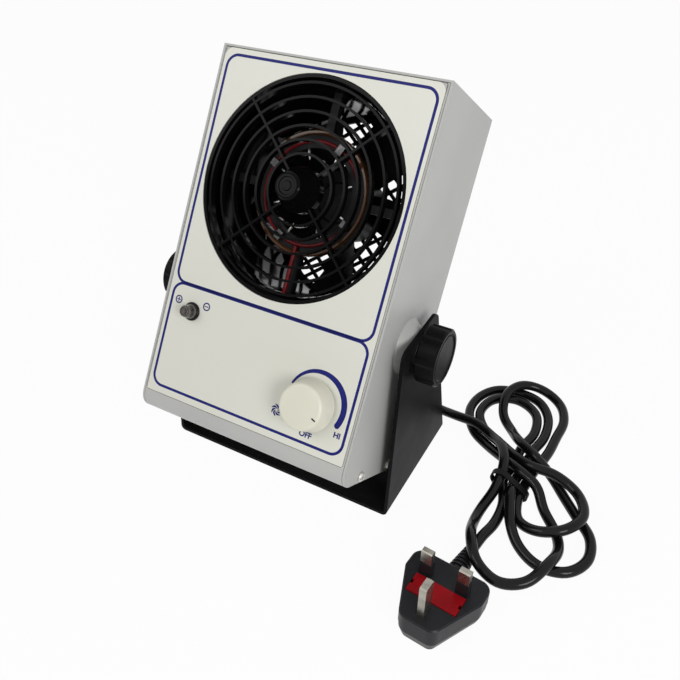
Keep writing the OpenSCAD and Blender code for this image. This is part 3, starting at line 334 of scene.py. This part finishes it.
module_resin = moulding("module_resin", (24, 26, 30), (32, 34, 38), 0.3, 0.4, 300.0, 0.3)
ceramic = moulding("fuse_ceramic", (228, 226, 218), (234, 232, 226), 0.35, 0.1, 900.0)
bezel_brown = moulding("bezel_brown", (14, 12, 12), (22, 19, 18), 0.3, 0.3, 1400.0, shine=0.15)
amber = moulding("amber_ring", (62, 36, 14), (86, 52, 22), 0.14, 0.1, 500.0, shine=0.3)

lens = Finish("smoky_lens", (92, 84, 80), 0.12, Transmission_Weight=0.35, IOR=1.45)
lens_ring_relief_and_shade = lens.rings(LAMP, 420.0)
# The lens's colour runs dark in the grooves and light on the tops of its rings: painted shade and painted
# highlight of its moulded steps, which the same rings also raise as bump.
lens.set("Base Color", lens.tint(lens_ring_relief_and_shade, (34, 30, 29), (122, 116, 110)))
lens.bump(lens_ring_relief_and_shade, 0.5, 0.0003)
print("plastics ready")

# %% [markdown]
# ## Metals
# Screws, nuts and pins are nickel plated. Plating is never quite even: a stretched noise varies its
# roughness as turning marks do. The fan's winding is lacquered copper, with one line for every wire, its
# colour darker in the grooves between wires as painted shade.

# %% Metals
def plating(name, colour, other, roughness, stretch):
    finish = Finish(name, colour, roughness, Metallic=1.0)
    finish.set("Base Color", finish.tint(finish.ramp(finish.noise(220.0), 0.3, 0.7), colour, other))
    finish.set("Roughness", finish.noise(500.0, 3.0, stretch) * 0.28 + (roughness - 0.1))
    finish.bump(finish.noise(900.0, 2.0, stretch), 0.15, 0.0001)
    return finish.material

nickel = plating("nickel", (206, 204, 198), (222, 220, 214), 0.3, (1, 1, 6))
pin_metal = plating("pin_metal", (150, 147, 138), (176, 172, 162), 0.26, (6, 6, 1))
clip_metal = plating("clip_metal", (78, 78, 78), (104, 104, 104), 0.4, (1, 1, 1))

copper = Finish("copper_winding", (150, 84, 40), 0.3, Metallic=0.8, Coat_Weight=0.5)
wire_relief_and_shade = copper.node("ShaderNodeTexWave", {"bands_direction": "Y"}, {"Vector": copper.place, "Scale": 500.0})
# Darker in the grooves between wires and lighter on their tops: painted shade, from the same bands that make
# the bump.
copper.set("Base Color", copper.tint(wire_relief_and_shade, (112, 58, 26), (176, 104, 54)))
copper.bump(wire_relief_and_shade, 0.6, 0.0002)
print("metals ready")

# %% Give every CAD node its finish
FINISH_OF = {
    white_enamel: ["front_cover", "rear_shell", "side_bosses"],
    overlay.material: ["front_overlay"],
    black_enamel: ["bracket", "rear_guard"],
    gloss_black: ["front_grille", "fan_duct", "fan_frame"],
    satin_black: ["impeller", "emitter_carrier", "cord_gland", "gland_sleeve", "cord_tie"],
    knob_black: ["clamp_knob_left", "clamp_knob_right"],
    plug_black: ["plug_body", "plug_sleeve", "pin_shrouds"],
    cream: ["speed_knob"],
    fuse_red: ["fuse_carrier"],
    wire_red: ["high_voltage_wire"],
    control_case: ["speed_control"],
    module_resin: ["high_voltage_module"],
    ceramic: ["fuse"],
    bezel_brown: ["lamp_bezel"],
    amber: ["amber_ring"],
    lens.material: ["lamp_lens"],
    copper.material: ["fan_stator"],
    clip_metal: ["wire_clips"],
    pin_metal: ["live_pin", "neutral_pin", "earth_pin"],
    nickel: ["duct_nuts", "fan_nuts", "impeller_shaft", "emitter_needles", "guard_screws", "case_screws",
             "lamp_nut", "speed_control_nut", "speed_shaft", "clamp_nuts", "clamp_washers",
             "clamp_stud_left", "clamp_stud_right"],
}

def dress(piece, material):
    piece.data.materials.clear()
    piece.data.materials.append(material)

for material, names in FINISH_OF.items():
    for name in names:
        dress(nodes[name], material)
dress(mains_lead, cord_vinyl)
BEVEL_MM = {"bracket": 0.4, "front_cover": 0.3, "rear_shell": 0.3, "plug_body": 0.8, "fuse_carrier": 0.3,
            "clamp_knob_left": 0.35, "clamp_knob_right": 0.35,
            "live_pin": 0.3, "neutral_pin": 0.3, "earth_pin": 0.3}
for name, width in BEVEL_MM.items():
    modifier = nodes[name].modifiers.new("edge", "BEVEL")
    modifier.width = width * MM
    modifier.segments = 2
    modifier.limit_method = "ANGLE"
    modifier.angle_limit = math.radians(35)
bare = [name for name in nodes if name not in sum(FINISH_OF.values(), [])]
print("nodes without a finish of their own:", bare)

# %% [markdown]
# ## Printed marks
# The overlay is screen printed in navy: two rounded frames that share a line, a plus and a minus beside the
# lamp, and a crescent that grows round the speed knob from OFF to HI. Ink is a real layer, so each mark is
# a thin plate on the face of the film, drawn flat and then leaned back with the case.

# %% Thin plates of ink
def plate(name, outlines, lift=INK_T):
    """Thin plate on the panel's face. Each outline is one closed loop of (x, z) in millimetres, or a pair
    of loops with as many points, the outside of a ring and its inside."""
    bm = bmesh.new()
    for outline in outlines:
        ring = isinstance(outline, tuple)
        loops = outline if ring else (outline,)
        layers = [[[bm.verts.new((x * MM, FACE_Y - y, z * MM)) for x, z in loop] for loop in loops]
                  for y in (0, lift)]
        back, front = layers
        count = len(loops[0])
        for i in range(count):
            n = (i + 1) % count
            bm.faces.new((back[0][i], back[0][n], front[0][n], front[0][i]))
            if ring:
                bm.faces.new((front[0][i], front[0][n], front[1][n], front[1][i]))
                bm.faces.new((back[0][n], back[0][i], back[1][i], back[1][n]))
                bm.faces.new((back[1][n], back[1][i], front[1][i], front[1][n]))
        if not ring:
            bm.faces.new(front[0])
            bm.faces.new(list(reversed(back[0])))
    bmesh.ops.recalc_face_normals(bm, faces=bm.faces)
    mesh = bpy.data.meshes.new(name)
    bm.to_mesh(mesh)
    bm.free()
    mesh.transform(CASE)
    piece = bpy.data.objects.new(name, mesh)
    bpy.context.collection.objects.link(piece)
    dress(piece, ink.material)
    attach(piece, "case")
    return piece

def arc(cx, cz, r, start, end, steps):
    """Points of an arc, in millimetres and degrees."""
    return [(cx + r * math.cos(math.radians(start + (end - start) * i / steps)),
             cz + r * math.sin(math.radians(start + (end - start) * i / steps))) for i in range(steps + 1)]

def rounded(half, low, high, r, steps=12):
    """A rectangle across the panel with round corners."""
    return (arc(half - r, high - r, r, 0, 90, steps) + arc(-half + r, high - r, r, 90, 180, steps)
            + arc(-half + r, low + r, r, 180, 270, steps) + arc(half - r, low + r, r, 270, 360, steps))

def frame_ring(half, low, high, r, line):
    """The outside and the inside of a printed frame."""
    return (rounded(half, low, high, r), rounded(half - line, low + line, high - line, r - line))

# %% Frames, signs and the crescent
LINE = 1.6
FRAME_HALF = 65.4
FRAME_TOP = 213.4
FRAME_BOTTOM = 16.4
FRAME_CORNER = 7.5
SHARED = 80.2
upper = frame_ring(FRAME_HALF, SHARED - 0.5, FRAME_TOP, FRAME_CORNER, LINE)
lower = frame_ring(FRAME_HALF, FRAME_BOTTOM, SHARED + 0.5, FRAME_CORNER, LINE)
plate("print_frames", [upper, lower])

def sign(name, x, z, plus):
    r = 2.45
    bars = [[(x - 1.3, z - 0.28), (x + 1.3, z - 0.28), (x + 1.3, z + 0.28), (x - 1.3, z + 0.28)]]
    if plus:
        bars += [[(x - 0.28, z + a), (x + 0.28, z + a), (x + 0.28, z + b), (x - 0.28, z + b)]
                 for a, b in ((0.28, 1.3), (-1.3, -0.28))]
    circle = (arc(x, z, r, 0, 345, 23), arc(x, z, r - 0.75, 0, 345, 23))
    plate(name, [circle] + bars)

sign("print_plus", -59.5, 70.1, True)
sign("print_minus", -39.5, 70.9, False)

def crescent():
    """Two arcs that meet in a point on the left and end in a round cap on the right."""
    outer = arc(43.2, 40.4, 18.6, 160, -25, 40)
    cap = arc(58.46, 32.92, 1.64, -20, -188, 10)
    inner = arc(42.1, 40.2, 16.3, -25, 160, 40)
    return outer + cap + inner

plate("print_crescent", [crescent()])
# A thin grey ring round the film's edges is painted shadow of the film's edge, not ink.
painted_film_shadow = plate("painted_film_shadow", [frame_ring(67.75, 12.35, 216.5, 1.2, 0.3)], 0.02 * MM)
dress(painted_film_shadow, painted_edge_shade)
print("frames, signs and crescent printed")

# %% Words on the dial
def word(name, text, x, z, height):
    curve = bpy.data.curves.new(name, "FONT")
    curve.body = text
    curve.size = height * MM * 1.42
    curve.align_x = "CENTER"
    curve.extrude = INK_T / 2
    curve.offset = 0.00016
    source = bpy.data.objects.new(name, curve)
    bpy.context.collection.objects.link(source)
    mesh = bpy.data.meshes.new_from_object(source.evaluated_get(bpy.context.evaluated_depsgraph_get()))
    bpy.data.objects.remove(source)
    mesh.transform(on_panel(x, z, INK_T / 2))
    piece = bpy.data.objects.new(name, mesh)
    bpy.context.collection.objects.link(piece)
    dress(piece, ink.material)
    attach(piece, "case")
    return piece

word("print_off", "OFF", 41.8, 20.6, 3.1)
word("print_hi", "HI", 59.9, 26.5, 3.0)
print("dial words printed")

# %% [markdown]
# ## The fan sign
# Beside the knob stands a small fan with seven curved blades. One blade is drawn, and a Geometry Nodes
# tree sets copies of it round a circle. Its inputs have names, so the count and radius can be changed.

# %% Ring of copies, as a Geometry Nodes tree
def ring_tree(name, material):
    tree = bpy.data.node_groups.new(name, "GeometryNodeTree")
    tree.interface.new_socket("Geometry", in_out="INPUT", socket_type="NodeSocketGeometry")
    tree.interface.new_socket("Count", in_out="INPUT", socket_type="NodeSocketInt")
    tree.interface.new_socket("Radius", in_out="INPUT", socket_type="NodeSocketFloat")
    tree.interface.new_socket("Geometry", in_out="OUTPUT", socket_type="NodeSocketGeometry")
    kinds = {"in": "NodeGroupInput", "out": "NodeGroupOutput", "circle": "GeometryNodeMeshCircle",
             "copies": "GeometryNodeInstanceOnPoints", "index": "GeometryNodeInputIndex",
             "step": "ShaderNodeMath", "angle": "ShaderNodeMath", "turn": "ShaderNodeCombineXYZ",
             "euler": "FunctionNodeEulerToRotation", "real": "GeometryNodeRealizeInstances",
             "finish": "GeometryNodeSetMaterial"}
    made = {key: tree.nodes.new(kind) for key, kind in kinds.items()}
    made["step"].operation = "DIVIDE"
    made["step"].inputs[0].default_value = 2 * math.pi
    made["angle"].operation = "MULTIPLY"
    made["finish"].inputs["Material"].default_value = material
    link = tree.links.new
    link(made["in"].outputs["Count"], made["circle"].inputs["Vertices"])
    link(made["in"].outputs["Radius"], made["circle"].inputs["Radius"])
    link(made["in"].outputs["Count"], made["step"].inputs[1])
    link(made["index"].outputs[0], made["angle"].inputs[0])
    link(made["step"].outputs[0], made["angle"].inputs[1])
    link(made["angle"].outputs[0], made["turn"].inputs["Z"])
    link(made["turn"].outputs[0], made["euler"].inputs[0])
    link(made["circle"].outputs[0], made["copies"].inputs["Points"])
    link(made["in"].outputs["Geometry"], made["copies"].inputs["Instance"])
    link(made["euler"].outputs[0], made["copies"].inputs["Rotation"])
    link(made["copies"].outputs[0], made["real"].inputs[0])
    link(made["real"].outputs[0], made["finish"].inputs["Geometry"])
    link(made["finish"].outputs[0], made["out"].inputs[0])
    return tree

def ring_of(name, mesh, count, radius, material, place, body):
    """Copies of the mesh round a circle, made a plain mesh, placed and set riding on a body."""
    source = bpy.data.objects.new(name, mesh)
    bpy.context.collection.objects.link(source)
    modifier = source.modifiers.new("ring", "NODES")
    modifier.node_group = ring_tree(name, material)
    for item in modifier.node_group.interface.items_tree:
        if item.in_out == "INPUT" and item.name in ("Count", "Radius"):
            modifier[item.identifier] = count if item.name == "Count" else float(radius)
    result = bpy.data.meshes.new_from_object(source.evaluated_get(bpy.context.evaluated_depsgraph_get()))
    source.modifiers.clear()
    bpy.data.objects.remove(source)
    result.transform(place)
    piece = bpy.data.objects.new(name, result)
    bpy.context.collection.objects.link(piece)
    dress(piece, material)
    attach(piece, body)
    print(name, "has", count, "copies,", len(result.polygons), "faces")
    return piece

def flat_mesh(name, outline, thickness):
    """A thin plate in the XY plane, its face towards +Z."""
    bm = bmesh.new()
    low = [bm.verts.new((x * MM, y * MM, 0)) for x, y in outline]
    high = [bm.verts.new((x * MM, y * MM, thickness)) for x, y in outline]
    bm.faces.new(high)
    bm.faces.new(list(reversed(low)))
    for i in range(len(outline)):
        n = (i + 1) % len(outline)
        bm.faces.new((low[i], low[n], high[n], high[i]))
    bmesh.ops.recalc_face_normals(bm, faces=bm.faces)
    mesh = bpy.data.meshes.new(name)
    bm.to_mesh(mesh)
    bm.free()
    return mesh

SIGN_HUB = 0.6

def blade_side(side, start=0.8, end=3.5, sweep=24, steps=8):
    """One edge of a blade that leans further round as it goes out, and is widest two thirds of the way."""
    out = []
    for i in range(steps + 1):
        share = i / steps
        r = start + (end - start) * share
        a = math.radians(sweep * (r - start))
        wide = side * (0.2 + 0.62 * math.sin(math.pi * share ** 1.5))
        out.append((r * math.cos(a) - wide * math.sin(a) - SIGN_HUB, r * math.sin(a) + wide * math.cos(a)))
    return out

blade = flat_mesh("sign_blade", blade_side(-1) + blade_side(1)[::-1], INK_T)
ring_of("print_fan", blade, 7, SIGN_HUB * MM, ink.material, on_panel(21.2, 29.0), "case")

# %% Ridges round the lamp's bezel
ridge = flat_mesh("bezel_ridge", [(-0.25, -0.22), (0.12, -0.22), (0.12, 0.22), (-0.25, 0.22)], 1.0 * MM)
bezel_ridges = ring_of("bezel_ridges", ridge, 30, 5.3 * MM, bezel_brown, LAMP, "case")

# %% Pointer of the speed knob
pointer = flat_mesh("pointer_mark", [(9.15, -0.4), (11.65, -0.4), (11.65, 0.4), (9.15, 0.4)], 0.3 * MM)
pointer.transform(on_panel(*KNOB_AT, (KNOB_FACE - 0.36) * MM) @ Matrix.Rotation(math.radians(-22), 4, "Z"))
pointer_mark = bpy.data.objects.new("pointer_mark", pointer)
bpy.context.collection.objects.link(pointer_mark)
dress(pointer_mark, knob_black)
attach(pointer_mark, "speed_knob")
print("pointer set in the knob's face")

# %% [markdown]
# ## Floor, world and lamps
# The floor and the sky are white to camera rays, and to rays that metal and glossy plastic send back, while
# the light that they give stays plain. A wide lamp at the front left models the panel, a smaller one on the
# right lifts the side of the case, and a very small one draws the thin glints on the guard and the lead.

# %% Floor, world and lamps
FLOOR_Z = -0.2 * MM

def add_lamp(name, place, aim, size, watts):
    data = bpy.data.lights.new(name, "AREA")
    data.shape = "DISK"
    data.size = size
    data.energy = watts
    lamp = bpy.data.objects.new(name, data)
    lamp.location = place
    lamp.rotation_euler = (Vector(aim) - Vector(place)).to_track_quat("-Z", "Y").to_euler()
    bpy.context.collection.objects.link(lamp)
    return lamp

def camera_rays(tree):
    path = tree.nodes.new("ShaderNodeLightPath")
    seen = Value(tree, path.outputs["Is Camera Ray"])
    seen = seen.math("MAXIMUM", Value(tree, path.outputs["Is Glossy Ray"]))
    return seen.math("MAXIMUM", Value(tree, path.outputs["Is Transmission Ray"]))

def add_floor(half, white_share):
    mesh = bpy.data.meshes.new("floor")
    corners = ((-half, -half), (half, -half), (half, half), (-half, half))
    mesh.from_pydata([(x, y, FLOOR_Z) for x, y in corners], [], [(0, 1, 2, 3)])
    floor = bpy.data.objects.new("floor", mesh)
    bpy.context.collection.objects.link(floor)
    finish = Finish("floor", (246, 246, 246), 0.9)
    tree = finish.tree
    glow = tree.nodes.new("ShaderNodeEmission")
    mix = tree.nodes.new("ShaderNodeMixShader")
    share = camera_rays(tree) * white_share
    tree.links.new(share.socket, mix.inputs[0])
    tree.links.new(finish.shader.outputs[0], mix.inputs[1])
    tree.links.new(glow.outputs[0], mix.inputs[2])
    tree.links.new(mix.outputs[0], tree.nodes["Material Output"].inputs["Surface"])
    dress(floor, finish.material)
    return floor

scene = bpy.context.scene
scene.view_settings.view_transform = "Standard"
world = bpy.data.worlds.new("world")
scene.world = world
world.use_nodes = True
sky = world.node_tree.nodes["Background"]
sky.inputs["Color"].default_value = (1, 1, 1, 1)
strength = camera_rays(world.node_tree) * 0.62 + 0.38
world.node_tree.links.new(strength.socket, sky.inputs["Strength"])
add_floor(3.0, 0.95)
add_lamp("key", (-0.75, -0.75, 1.15), (0, 0, 0.1), 0.7, 3.4)
add_lamp("fill", (0.9, -0.6, 0.6), (0, 0, 0.08), 0.5, 5.4)
add_lamp("spark", (-0.25, -0.7, 0.95), (0, 0, 0.12), 0.06, 0.55)
print("stage ready")
